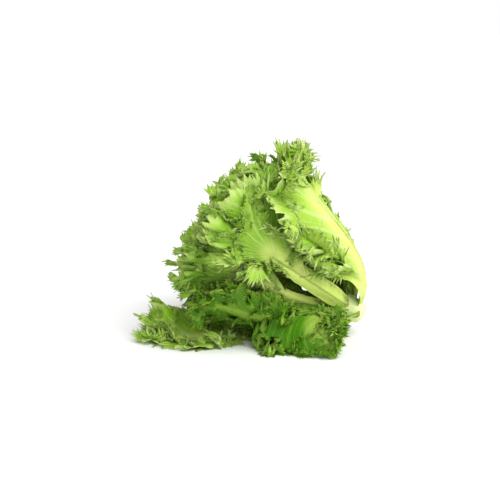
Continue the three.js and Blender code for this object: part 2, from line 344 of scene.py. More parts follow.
def surface_normals(p):
    """Unit normals of a grid of points, from the differences along both directions."""
    n = unit(np.cross(np.gradient(p, axis=1), np.gradient(p, axis=0)))
    n[0] = unit(n[1] + n[1][::-1])
    return n


def smooth_along(v, k):
    """Moving average along the edge, over k columns to each side."""
    total = np.cumsum(np.pad(v, ((0, 0), (k + 1, k), (0, 0)), mode="edge"), axis=1)
    return (total[:, 2 * k + 1:] - total[:, :-2 * k - 1]) / (2 * k + 1)


class Fan:
    """The flat leaf as a fan of lines that run from the rib to the edge.

    Columns run around the edge from one side of the foot over the tip to the other side. They are spaced
    evenly, except that the smooth stalk gets fewer. Rows run from the rib (0) to the edge (1): the first few
    follow the rib's width, the rest close up towards the edge.
    """

    def __init__(self, leaf, size):
        length, half = leaf["length"], leaf["columns"] // 2
        q = 1 - (1 - np.linspace(0, 1, EDGE_SAMPLES)) ** 1.6
        steps = np.hypot(np.diff(half_width(leaf, q)), np.diff(q) * length)
        weight = 0.15 + 0.85 * ease(leaf["frill"] * 0.9, leaf["frill"] + 0.12, (q[1:] + q[:-1]) / 2)
        measure = np.concatenate([[0], np.cumsum(steps * weight)])
        one_side = np.interp(np.linspace(0, 1, half + 1), measure / measure[-1], q)
        self.place = np.concatenate([one_side, one_side[::-1][1:]])
        self.side = np.concatenate([-np.ones(half), [0], np.ones(half)])
        self.across = self.side * half_width(leaf, self.place, self.side)
        self.along = self.place * length
        edge = np.interp(self.place, q, measure)
        self.edge = np.where(self.side > 0, 2 * measure[-1] - edge, edge)
        self.frilled = ease(leaf["frill"] * 0.8, leaf["frill"] + 0.16, self.place)
        # where each line leaves the rib, and how far it reaches from there
        lean = FAN_LEAN * ease(0, 0.16, self.place)
        leaves = np.minimum(self.along - lean * np.abs(self.across), leaf["rib_end"] * length)
        self.leaves = np.clip(leaves, 0, None)
        self.reach = np.hypot(self.across, self.along - self.leaves)
        self.far = np.clip(self.reach / FULL_FRILL_REACH, 0.25, 1.0)
        self.rib_place = self.leaves / length
        rib_half = (size.rib_width / MM / 2 * leaf["broad"] * lerp(0.62, 1.0, ease(0, 0.45, self.rib_place))
                    * min(leaf["stalk"], 1.2))
        self.rib_half = np.minimum(rib_half * (1 - 0.72 * ease(0.45, 0.95, self.rib_place)),
                                   0.8 * np.maximum(self.reach, 4))
        rib = np.array(RIB_ROWS)[:, None] * (self.rib_half / np.maximum(self.reach, 1))[None, :]
        rib = np.minimum(rib, np.linspace(0, 0.9, len(RIB_ROWS))[:, None])
        blade = 1 - (1 - np.linspace(0, 1, BLADE_ROWS + 1)[1:]) ** 1.35
        self.rows = np.concatenate([rib, rib[-1] + (1 - rib[-1]) * blade[:, None]])
        lee = np.where(self.side < 0, leaf["lee"], 1)
        self.strength = (self.frilled * self.far * leaf["ruffle"] * lee)[None, :]


def lobe_places(rng, edge, count):
    """Lobe number, place across the lobe (-1 to 1) and lobe width for each place along the edge."""
    cuts = np.arange(count + 1) + np.concatenate([[0], rng.uniform(-0.28, 0.28, count - 1), [0]])
    cuts = cuts / count * edge.max()
    number = np.clip(np.searchsorted(cuts, edge, side="right") - 1, 0, count - 1)
    width = np.diff(cuts)[number]
    return number, 2 * (edge - cuts[number]) / width - 1, width


def cleft_rows(leaf, fan, lobes, rng, size):
    """Rows of the fan with clefts between the lobes: a lobe's end is domed, and notched between its pleats.

    The dome is one minus the cube of the place across the lobe, to the power 0.6. The lines get longer or
    shorter by their share of the cut, more and more towards the edge.
    """
    number, x, _ = lobes
    count = leaf["lobes"]
    long = rng.uniform(0.55, 1.15, count)[number]
    depth = size.lobe_depth / MM * rng.uniform(0.7, 1.2, count)[number]
    dome = (1 - np.abs(x) ** 3.0) ** 0.6
    pleat = (x + 1) / 2 * rng.integers(2, 5, count)[number]
    notch = np.abs(np.cos(math.pi * pleat)) ** 4
    cut = (0.30 * size.lobe_depth / MM * long * dome - depth * (1 - dome) - 0.4 * size.frill_length / MM
           - size.notch_depth / MM * notch * dome * rng.uniform(0.4, 1.2, count)[number])
    share = np.clip(cut * fan.frilled / np.maximum(fan.reach, 12), -0.58, 0.35)
    return fan.rows * (1 + share * ease(0.3, 1.0, fan.rows))


def laid_out(leaf, fan, rows, size):
    """The smooth leaf at the fan's rows: lines bow towards the tip, and the foot runs into the stem."""
    bow = 0.16 * (fan.along - fan.leaves)[None, :] * rows * (1 - rows)
    across = fan.across[None, :] * rows
    along = fan.leaves[None, :] + (fan.along - fan.leaves)[None, :] * rows + bow
    p = leaf_surface(leaf, across, along)
    radial = unit(p - (p @ AXIS)[..., None] * AXIS)
    return p - radial * (size.foot_depth / MM * (1 - ease(0, 8, along)))[..., None]


def lifted(leaf, fan, rows, lobes, p, rng, size):
    """The whole edge leans out, and each lobe lifts, rolls, hollows and spreads over its neighbours.

    A lobe's rise is its lift, plus its roll times the place across it, plus its hollow times that place
    squared.
    """
    number, x, lobe_width = lobes
    count = leaf["lobes"]
    edge = fan.edge[None, :] + 0 * rows
    n = surface_normals(p)
    lean_out = (-leaf["flare"] * ease(0.45, 1.0, rows) ** 1.5 * fan.strength
                * (0.7 + 0.5 * wave_noise(rng, edge, EDGE_LEAN_WAVE)))
    p = p + n * lean_out[..., None]
    grow = ease(0.30, 1.0, rows) * fan.strength
    lift = np.where(np.arange(count) % 2 == 0, 1, -1) * rng.uniform(0.25, 1.0, count)
    roll = rng.choice([-1, 1], count) * rng.uniform(0.3, 1.0, count)
    hollow = rng.uniform(-0.2, 1.0, count)
    rise = size.lobe_lift / MM * (lift[number] + roll[number] * 0.9 * x + hollow[number] * (x * x - 0.4))
    spread = size.lobe_spread * lobe_width / 2 * x
    n = surface_normals(p)
    along_edge = unit(np.gradient(p, axis=1))
    return p + n * (rise * grow ** 1.2)[..., None] + along_edge * (spread * grow)[..., None]


def ruffled(leaf, fan, rows, p, rng, size):
    """Waves, folds and crimps, each a cosine along the edge on the normals of the surface so far.

    Their phase and height wander, and a sine of twice the phase shifts them sideways, so that they overhang.
    """
    edge = fan.edge[None, :] + 0 * rows
    for key, wave, begins, side_step, smooth in WAVES:
        n = unit(smooth_along(surface_normals(p), smooth))
        along_edge = unit(smooth_along(np.gradient(p, axis=1), smooth))
        phase = (2 * math.pi * edge / wave + 1.7 * wave_noise(rng, edge, wave * 3.1)
                 + rows * 2 * wave_noise(rng, edge, wave * 4))
        grow = (ease(begins * leaf["calm"], 1.02, rows) ** 1.1 * fan.strength
                * (0.85 + 0.35 * wave_noise(rng, edge, wave * 2.3)))
        p = p + n * (getattr(size, key) / MM * grow * np.cos(phase))[..., None]
        p = p + along_edge * (side_step * wave * np.clip(grow, 0, 1) * np.sin(2 * phase))[..., None]
    return p


def fingered(fan, p, rng, size):
    """Draws the edge out into pointed fingers, each with its own length; neighbours curl and lean alike.

    Returns the points and, for each column, how far out on a finger it lies (0 to 1).
    """
    n = unit(smooth_along(surface_normals(p), 4))
    outwards = unit(smooth_along(np.gradient(p, axis=0), 3))
    along_edge = unit(smooth_along(np.gradient(p, axis=1), 4))
    step = len(FINGER_SHAPE)
    column = np.arange(p.shape[1])
    fingers = (p.shape[1] - 1) // step + 1
    finger = column // step
    shape = np.array(FINGER_SHAPE)[column % step] * fan.frilled
    long = rng.uniform(0.3, 1.25, fingers)[finger] * shape
    curl = (rng.normal(0, 0.22, fingers)[finger] + 0.4 * wave_noise(rng, fan.edge, 22)) * shape
    sweep = (rng.normal(0, 0.15, fingers)[finger] + 0.3 * wave_noise(rng, fan.edge, 15)) * shape
    lasts = np.zeros((len(p), 1))
    lasts[-len(FINGER_ROWS):, 0] = FINGER_ROWS
    length = size.finger_length / MM
    p = p + outwards * (length * long * lasts)[..., None]
    p = p + n * (length * curl * lasts ** 1.5)[..., None]
    p = p + along_edge * (length * sweep * lasts ** 1.5)[..., None]
    return p, shape


# ---- the small lobes ----
def frill_roots(leaf, fan, blade, ring, crowded, rng, size):
    """Where the lobes of one ring stand on the blade: column, root, and directions over, out and normal.

    They are spread evenly along the edge and thinned out by crowded. Each is turned out of the blade by a
    yaw, a pitch and a roll of its own.
    """
    place, scale, _ = ring
    edge = fan.edge
    count = int(edge.max() * max(place, 0.4) / (size.frill_spacing / MM * scale))
    s = (np.arange(count) + rng.uniform(0.1, 0.9, count)) * edge.max() / count
    column = np.round(np.interp(s, edge, np.arange(len(edge)))).astype(int)
    column = column[rng.uniform(0.1, 0.9, count) < crowded[column]]
    count = len(column)
    row = np.abs(fan.rows[:, column] - place - rng.uniform(-0.03, 0.02, count)).argmin(0)
    root, n, out = [grid[row, column] for grid in blade]
    out = unit(out - (out * n).sum(-1, keepdims=True) * n)
    over = np.cross(out, n)
    inner = 1 - ease(0.8, 0.95, place)
    yaw = rng.normal(0, 0.40, count)
    pitch = rng.normal(0, 0.50, count) * (1 - inner) + leaf["facing"] * inner * rng.uniform(0.25, 1.1, count)
    roll = rng.normal(0, 0.55, count)

    def turned(a, b, angle):
        """Two square directions turned in their plane, from the first towards the second."""
        c, d = np.cos(angle)[:, None], np.sin(angle)[:, None]
        return a * c + b * d, b * c - a * d

    out, over = turned(out, over, yaw)
    out, n = turned(out, n, pitch)
    over, n = turned(over, n, roll)
    return column, (root, over, out, n)


def frill_sheets(count, fingers, reach, shares, facing, rng):
    """Small lobes laid flat: x across, y outwards and z up, for a (-1 to 1) around and r (0 to 1) outwards.

    A lobe's lines spread from its root like the ribs of a hand fan: x and y are the radius times sine and
    cosine of the fan's angle. Its end is domed and drawn out into pointed fingers, it is pleated by a cosine
    once for every two fingers, bent across as a parabola, and rolled up along a circle.
    """
    each = (count, 1, 1)
    wide = 4 * fingers + 1
    a = np.linspace(-1, 1, wide)[None, None, :]
    r = np.array(FRILL_ROWS)[None, :, None]

    def by_finger(values):
        """One value a finger, repeated for each of its columns."""
        return values[:, np.arange(wide) // 4][:, None, :]

    own = by_finger(rng.uniform(0.3, 1.0, (count, fingers + 1)))
    bent = by_finger(rng.normal(0, 0.10, (count, fingers + 1)))
    tooth = np.array(FINGER_SHAPE)[np.arange(wide) % 4][None, None, :] * own
    long = reach * rng.uniform(0.7, 1.3, each) * shares[:, None, None]
    fan = np.radians(rng.uniform(32, 52, each))
    radius = long * r * (1 - 0.25 * a ** 4) * (1 - 0.52 * (1 - tooth) * r ** 3)
    astray = by_finger(rng.normal(0, 0.05, (count, fingers + 1)))
    x = 0.13 * long * a * (1 - r) + radius * np.sin(fan * a) + long * astray * tooth * r ** 4
    y = radius * np.cos(fan * a) - 0.18 * long
    pleat = np.cos(math.pi * fingers * (a + 1) / 2 + rng.uniform(0, 6, each))
    z = long * (0.05 * r * pleat + bent * tooth * r ** 4 + rng.uniform(-0.5, 0.7, each) * (x / long) ** 2)
    curl = rng.normal(0.3, 0.7, each) * facing / long
    sine, cosine = np.sin(curl * y), np.cos(curl * y)
    y, z = sine / curl - z * sine, (1 - cosine) / curl + z * cosine
    return (x, y, z), a, r, tooth


def lens_faces(count, rows, wide):
    """Quads of closed lenses: an upper and an under sheet of rows by wide points that share their border."""
    index = np.arange(rows * wide).reshape(rows, wide)
    under = index.copy()
    under[1:-1, 1:-1] += rows * wide
    sides = []
    for side, flip in ((index, False), (under, True)):
        quad = np.stack([side[:-1, :-1], side[:-1, 1:], side[1:, 1:], side[1:, :-1]], -1).reshape(-1, 4)
        sides.append(quad[:, ::-1] if flip else quad)
    quads = np.concatenate(sides)
    return (quads[None] + (2 * rows * wide * np.arange(count))[:, None, None]).reshape(-1, 4)


def frill_lobes(leaf, fan, p, crowded, rng, size):
    """Rings of small lobes, each a closed lens-shaped sheet: points, faces, UVs and marks of all of them."""
    points, faces, uvs = [], [], []
    marks = {key: [] for key in MARKS}
    blade = (p, unit(smooth_along(surface_normals(p), 3)), unit(smooth_along(np.gradient(p, axis=0), 3)))
    base = 0
    for ring in leaf["rings"]:
        _, scale, fingers = ring
        reach = size.frill_length / MM * scale * lerp(0.7, 1.0, leaf["ruffle"])
        column, frames = frill_roots(leaf, fan, blade, ring, crowded, rng, size)
        count = len(column)
        shares = np.clip(1.7 * fan.far[column], 0.6, 1)
        (x, y, z), a, r, tooth = frill_sheets(count, fingers, reach, shares, leaf["facing"], rng)
        root, over, out, n = [v[:, None, None, :] for v in frames]
        sheet = root + x[..., None] * over + y[..., None] * out + z[..., None] * n
        rows, wide = sheet.shape[1:3]
        half = np.zeros((rows, wide))
        half[1:-1, 1:-1] = size.blade_thickness / MM * 0.4
        lift = half[None, :, :, None] * n
        points.append(np.stack([sheet + lift, sheet - lift], 1).reshape(-1, 3))
        faces.append(lens_faces(count, rows, wide) + base)
        base += 2 * rows * wide * count
        shape = (count, 2, rows, wide)
        u = (fan.edge[column] / fan.edge.max() * 2 - 1)[:, None, None] + 0.06 * a + 0 * r
        uv = np.stack([u, 0.45 + 0.55 * r + 0 * u], -1)
        uvs.append(np.broadcast_to(uv[:, None], shape + (2,)).reshape(-1, 2))
        looks = dict(
            rib=np.maximum(scale - 1, 0) * 0.6 * (1 - ease(0, 0.8, r)),
            green=lerp(0.45 / scale, 1, ease(0, 0.5 * scale, r)),
            # painted highlight towards the small lobes' tips, for their sheen and the light shining through
            # them
            fringe_highlight=ease(0.45, 1.0, r) * (0.35 + 0.65 * tooth),
            shade=np.clip(leaf["shade"] + rng.normal(0, 0.14, (count, 1, 1)), 0, 1),
            pale=np.full((1, 1, 1), leaf["shade"]),
        )
        for key, value in looks.items():
            marks[key].append(np.broadcast_to(value[:, None], shape).ravel())
        marks["underside"].append(np.broadcast_to(np.arange(2.0)[None, :, None, None], shape).ravel())
    return (np.concatenate(points), np.concatenate(faces), np.concatenate(uvs),
            {key: np.concatenate(value) for key, value in marks.items()})


# ---- a whole leaf ----
def leaf_sides(leaf, fan, p, rib_reach, size):
    """Upper and under side: half the blade's thickness to each side, and a cosine rib underneath."""
    rib_high = lerp(size.rib_height / MM, 0.5, ease(0.0, 0.85, fan.rib_place)) * min(leaf["stalk"], 1.2)
    rib = (0.5 + 0.5 * np.cos(math.pi * np.clip(rib_reach / 1.5, 0, 1))) * rib_high[None, :]
    thick = size.blade_thickness / MM / 2 * (1 - 0.7 * ease(0.8, 1.0, fan.rows))
    n = surface_normals(p)
    upper = p + n * thick[..., None] - n * (0.15 * rib)[..., None]
    under = p - n * (thick + rib)[..., None]
    under[-1] = upper[-1] = p[-1]
    under[..., 2] = np.maximum(under[..., 2], -BASE_HEIGHT + 0.1)
    return upper, under


def blade_marks(leaf, fan, rib_reach, number, shape, rng):
    """What the material reads off the blade, from 0 to 1: rib, green, fringe (a painted highlight on the
    edge), shade (age, and painted shade on a leaf in shadow) and the rib's age.
    """
    rows = fan.rows
    from_rib = np.maximum(rows * fan.reach[None, :] - fan.rib_half[None, :], 0)
    fade = 1 - 0.8 * ease(0.65, 1.0, fan.rib_place / leaf["rib_end"])
    bare = 0.15 + 0.85 * fan.frilled[None, :] * ease(0.0, 0.3, rows)
    tone = rng.uniform(-0.25, 0.25, leaf["lobes"])[number]
    return dict(
        rib=np.clip(1.25 - rib_reach, 0, 1) * fade[None, :],
        green=ease(0.0, leaf["greening"], from_rib) * bare,
        # painted highlight along the edge, strongest on the fingers, for the sheen and the light shining
        # through the thin edge
        fringe_highlight=ease(0.80, 1.0, rows) * fan.frilled[None, :] * (0.4 + 0.6 * shape[None, :]),
        shade=np.clip(leaf["shade"] + tone * ease(0.15, 0.6, rows), 0, 1),
        pale=np.full_like(rows, leaf["pale"]),
    )


def leaf_grid(leaf, seed, size):
    """Both sides of the blade on the fan's grid, its UVs and marks, and the small lobes that stand on it."""
    rng = np.random.default_rng(seed)
    fan = Fan(leaf, size)
    lobes = lobe_places(rng, fan.edge, leaf["lobes"])
    rows = cleft_rows(leaf, fan, lobes, rng, size)
    p = laid_out(leaf, fan, rows, size)
    p = lifted(leaf, fan, rows, lobes, p, rng, size)
    p = ruffled(leaf, fan, rows, p, rng, size)
    p, shape = fingered(fan, p, rng, size)
    bare = np.where(fan.side < 0, 1 - leaf["lee"], 0) * (1 - ease(0.62, 0.72, fan.place)) * 1.5
    frills = frill_lobes(leaf, fan, p, fan.frilled * (1 - bare), rng, size)
    p = above_table(p)
    # distance from the rib's middle, in half rib widths
    rib_reach = fan.rows * fan.reach[None, :] / np.maximum(fan.rib_half, 1)[None, :]
    upper, under = leaf_sides(leaf, fan, p, rib_reach, size)
    marks = blade_marks(leaf, fan, rib_reach, lobes[0], shape, rng)
    uv = np.stack([np.linspace(-1, 1, leaf["columns"] + 1)[None, :] + 0 * fan.rows, fan.rows], axis=-1)
    return upper, under, uv, marks, frills


def cascade_faces(columns, zones):
    """Quads and triangles of a grid whose columns double three times on the way to the edge.

    zones gives, for each band of rows, its last row and the step between its columns. Where the step
    halves, each wide cell meets two narrow ones through three triangles.
    """
    quads, tris = [], []
    first = 0
    for last, step in zones:
        c = np.arange(0, columns, step)
        for r in range(first, last):
            a = r * (columns + 1) + c
            b = (r + 1) * (columns + 1) + c
            if r == last - 1 and step > 1:
                m = b + step // 2
                tris += [np.stack([a, a + step, m], -1), np.stack([a, m, b], -1),
                         np.stack([a + step, b + step, m], -1)]
            else:
                quads.append(np.stack([a, a + step, b + step, b], -1))
        first = last
    return np.concatenate(quads), np.concatenate(tris)


def leaf_mesh(leaf, seed, size):
    """Closed shell of a leaf: upper and under side meet along the edge, and strips close the foot."""
    upper, under, uv, marks, (frill_points, frill_faces, frill_uvs, frill_marks) = leaf_grid(leaf, seed, size)
    rows, wide = upper.shape[:2]
    columns = wide - 1
    quads, tris = cascade_faces(columns, COLUMN_ZONES + ((rows - 1, 1),))
    # the two halves of the fan share the rib's line, and the two sides share the edge
    top = np.arange(rows * wide).reshape(rows, wide)
    top[0, columns // 2:] = top[0, :columns // 2 + 1][::-1].copy()
    bottom = top + rows * wide
    bottom[-1] = top[-1]
    top, bottom = top.ravel(), bottom.ravel()
    faces = [top[quads], top[tris], bottom[quads][:, ::-1], bottom[tris][:, ::-1]]
    r = np.arange(rows - 1)
    for c, flip in ((0, False), (columns, True)):
        a, b = r * wide + c, (r + 1) * wide + c
        strip = np.stack([top[a], top[b], bottom[b], bottom[a]], -1)
        faces.append(strip[:, ::-1] if flip else strip)
    points = np.concatenate([upper.reshape(-1, 3), under.reshape(-1, 3)])
    faces.append(frill_faces + len(points))
    points = np.concatenate([points, above_table(frill_points)])
    uvs = np.concatenate([uv.reshape(-1, 2), uv.reshape(-1, 2), frill_uvs])
    both = {key: np.concatenate([value.ravel(), value.ravel()]) for key, value in marks.items()}
    both["underside"] = np.repeat((0.0, 1.0), rows * wide)
    marks = {key: np.concatenate([value, frill_marks[key]]) for key, value in both.items()}
    return points, faces, uvs, marks


def whole_faces(faces):
    """Corners and sizes of the faces: a quad with one doubled corner becomes a triangle, a flat one goes."""
    loops, sizes = [], []
    for f in faces:
        same = f == np.roll(f, -1, axis=1)
        keep = f[~same.any(1)]
        loops.append(keep.ravel())
        sizes.append(np.full(len(keep), f.shape[1]))
        if f.shape[1] == 4:
            once = same.sum(1) == 1
            triangles = f[once][~same[once]].reshape(-1, 3)
            loops.append(triangles.ravel())
            sizes.append(np.full(len(triangles), 3))
    return np.concatenate(loops), np.concatenate(sizes)


def build_object(name, points, faces, uvs, marks, material):
    """Mesh object from points in metres, without the points that no face uses; it replaces the node name."""
    loops, sizes = whole_faces(faces)
    used, inverse = np.unique(loops, return_inverse=True)
    mesh = bpy.data.meshes.new(name)
    mesh.vertices.add(len(used))
    mesh.vertices.foreach_set("co", points[used].astype(np.float32).ravel())
    mesh.loops.add(len(loops))
    mesh.loops.foreach_set("vertex_index", inverse.astype(np.int32).ravel())
    mesh.polygons.add(len(sizes))
    mesh.polygons.foreach_set("loop_start", np.concatenate([[0], np.cumsum(sizes)[:-1]]).astype(np.int32))
    mesh.polygons.foreach_set("use_smooth", np.ones(len(sizes), bool))
    if uvs is not None:
        mesh.uv_layers.new(name="fan").data.foreach_set("uv", uvs[loops].astype(np.float32).ravel())
    for key, value in marks.items():
        mesh.attributes.new(key, "FLOAT", "POINT").data.foreach_set("value", value[used].astype(np.float32))
    mesh.update(calc_edges=True)
    mesh.validate()
    obj = bpy.data.objects.new(name + "_look", mesh)
    mesh.materials.append(material)
    bpy.context.scene.collection.objects.link(obj)
    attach(obj, "root")
    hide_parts(name)
    return obj


def head_offset():
    """Where the middle of the stem's cut face lies in the frame, in millimetres."""
    low, high = [np.array(c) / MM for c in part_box("stem")]
    ring = outward(np.arange(24) * 15.0)
    own = np.concatenate([h * AXIS + r * ring for h, r in STEM_OUTLINE])
    middle = (own.max(0) + own.min(0)) / 2
    return np.array([(low[0] + high[0]) / 2 - middle[0], (low[1] + high[1]) / 2, BASE_HEIGHT])


# ---- the stem ----
def stem_mesh():
    """Stem turned about the axis: the outline's radius less shallow cosine ribs, closed at both ends."""
    h = np.array([p[0] for p in STEM_OUTLINE], float)
    r = np.array([p[1] for p in STEM_OUTLINE], float)
    fine = np.linspace(0, len(h) - 1, 65)
    hh, rr = np.interp(fine, np.arange(len(h)), h), np.interp(fine, np.arange(len(h)), r)
    cap = np.linspace(0, 1, 9)[:-1]
    arc = cap[1:] * math.pi / 2
    hh = np.concatenate([h[0] + 0.5 * (1 - cap ** 2) - 0.5, hh, h[-1] + STEM_TOP * np.sin(arc)])
    rr = np.concatenate([r[0] * cap, rr, r[-1] * np.cos(arc)])
    turn = np.arange(STEM_SIDES) / STEM_SIDES * 2 * math.pi
    wobble = 1 - 0.02 * (1 + np.cos(5 * turn + 1.0)) - 0.012 * (1 + np.cos(13 * turn))
    radius = rr[:, None] * lerp(1.0, wobble[None, :], ease(-8, 0, hh)[:, None])
    ring = np.cos(turn)[:, None] * TOPWARD + np.sin(turn)[:, None] * FRONTWARD
    p = hh[:, None, None] * AXIS + radius[..., None] * ring[None]
    rows = len(hh)
    index = np.arange(rows * STEM_SIDES).reshape(rows, STEM_SIDES)
    index[0] = 0
    following = np.roll(index, -1, axis=1)
    quads = np.stack([index[:-1], index[1:], following[1:], following[:-1]], -1).reshape(-1, 4)
    tip = rows * STEM_SIDES
    points = np.concatenate([p.reshape(-1, 3), (AXIS * (h[-1] + STEM_TOP))[None]])
    end = np.stack([index[-1], np.full(STEM_SIDES, tip), following[-1]], -1)
    cut = np.concatenate([(1 - ease(*CUT_EDGE, hh))[:, None].repeat(STEM_SIDES, 1).ravel(), [0]])
    return points, [quads, end], {"cut": cut}


# ---- materials ----
def plug(tree, socket, value):
    """Feeds a socket from another node's output, or gives it a fixed value."""
    if isinstance(value, bpy.types.NodeSocket):
        tree.links.new(value, socket)
    else:
        socket.default_value = value


def node(tree, kind, inputs=(), **settings):
    """New node with the given settings, its inputs fed by name or number."""
    made = tree.nodes.new(kind)
    for key, value in settings.items():
        setattr(made, key, value)
    for key, value in dict(inputs).items():
        plug(tree, made.inputs[key], value)
    return made


def math_node(tree, operation, *values, clamp=False):
    """Output of a Math node on the given values or sockets."""
    made = node(tree, "ShaderNodeMath", operation=operation, use_clamp=clamp)
    for socket, value in zip(made.inputs, values):
        plug(tree, socket, value)
    return made.outputs[0]


def mix_colour(tree, factor, a, b):
    """Output of a colour mix from a (factor 0) to b (factor 1)."""
    made = node(tree, "ShaderNodeMix", data_type="RGBA")
    for number, value in ((0, factor), (6, a), (7, b)):
        plug(tree, made.inputs[number], value)
    return made.outputs[2]


def range_node(tree, value, low, high, to_low=0.0, to_high=1.0, smooth=True):
    """Output of a Map Range node: low becomes to_low and high becomes to_high."""
    made = node(tree, "ShaderNodeMapRange", interpolation_type="SMOOTHSTEP" if smooth else "LINEAR")
    for number, setting in enumerate((value, low, high, to_low, to_high)):
        plug(tree, made.inputs[number], setting)
    return made.outputs[0]


def noise(tree, scale, detail):
    """Output of a noise on the object's own coordinates."""
    place = node(tree, "ShaderNodeTexCoord").outputs["Object"]
    return node(tree, "ShaderNodeTexNoise", {"Vector": place, "Scale": scale, "Detail": detail}).outputs[0]


def rgb(colour):
    """Colour with a full alpha."""
    return (colour[0], colour[1], colour[2], 1.0)


def new_group(name, inputs, outputs):
    """Empty node group with the given sockets, and its input and output nodes."""
    group = bpy.data.node_groups.new(name, "ShaderNodeTree")
    for label, default in inputs:
        socket = group.interface.new_socket(label, in_out="INPUT", socket_type="NodeSocketFloat")
        socket.default_value = default
    for label in outputs:
        group.interface.new_socket(label, in_out="OUTPUT", socket_type="NodeSocketFloat")
    return group, group.nodes.new("NodeGroupInput"), group.nodes.new("NodeGroupOutput")


def vein_group():
    """Veins that fan out from the rib to the edge, and the fine net between them.

    A vein is where the fraction of the place along the edge times the number of veins comes near one half.
    Three sizes of veins lie over each other; the finer ones begin further from the rib and are broken up.
    """
    name = "Leaf veins"
    if name in bpy.data.node_groups:
        return bpy.data.node_groups[name]
    t, start, end = new_group(name, (("Main veins", 9.0), ("Net size", 220.0)), ("Vein", "Net", "Height"))
    fan = node(t, "ShaderNodeSeparateXYZ", {0: node(t, "ShaderNodeUVMap", uv_map="fan").outputs[0]}).outputs
    wander = math_node(t, "MULTIPLY", math_node(t, "SUBTRACT", noise(t, 28.0, 1.0), 0.5), 0.07)
    along_edge = math_node(t, "ADD", fan[0], wander)

    def veins(times, near, far, from_rib):
        """Several times as many veins as main ones: width near and far from the rib, and how they fade."""
        count = math_node(t, "MULTIPLY", start.outputs["Main veins"], times)
        part = math_node(t, "FRACT", math_node(t, "MULTIPLY", along_edge, count))
        away = math_node(t, "ABSOLUTE", math_node(t, "SUBTRACT", part, 0.5))
        width = range_node(t, fan[1], 0.0, 1.0, near, far, smooth=False)
        line = math_node(t, "SUBTRACT", 1.0, math_node(t, "DIVIDE", away, width), clamp=True)
        return math_node(t, "MULTIPLY", line, range_node(t, fan[1], *from_rib))

    main = veins(1.0, 0.30, 0.05, (0.35, 1.0, 1.0, 0.1))
    second = veins(3.0, 0.25, 0.10, (0.12, 0.4, 0.0, 0.9))
    third = veins(8.0, 0.3, 0.18, (0.3, 0.6, 0.0, 0.8))
    strong = range_node(t, noise(t, 90.0, 2.0), 0.35, 0.65, 0.3, 1.0)
    fine = math_node(t, "MULTIPLY", math_node(t, "MAXIMUM", second, third), strong)
    # stripes of the veins; the leaf material lightens them partly for the veins' own paleness, partly as a
    # painted highlight of the fine pleats
    vein_and_highlight = math_node(t, "MAXIMUM", main, fine)
    place = node(t, "ShaderNodeTexCoord").outputs["Object"]
    cells = node(t, "ShaderNodeTexVoronoi", feature="DISTANCE_TO_EDGE")
    plug(t, cells.inputs["Vector"], place)
    plug(t, cells.inputs["Scale"], start.outputs["Net size"])
    net = range_node(t, cells.outputs["Distance"], 0.0, 0.16, 1.0, 0.0)
    high = math_node(t, "ADD", math_node(t, "MULTIPLY", vein_and_highlight, 0.8), math_node(t, "MULTIPLY", net, 0.25))
    for label, value in (("Vein", vein_and_highlight), ("Net", net), ("Height", high)):
        plug(t, end.inputs[label], value)
    return t


def principled(name, inputs):
    """New material with fixed values for its shader's inputs, its node tree and its shader."""
    material = bpy.data.materials.new(name)
    material.use_nodes = True
    shader = material.node_tree.nodes["Principled BSDF"]
    for key, value in inputs.items():
        shader.inputs[key].default_value = value
    return material, material.node_tree, shader


def bumped(tree, shader, height, strength, distance):
    """Raises the shader's surface by a height."""
    bump = node(tree, "ShaderNodeBump", {"Strength": strength, "Distance": distance, "Height": height})
    tree.links.new(bump.outputs[0], shader.inputs["Normal"])


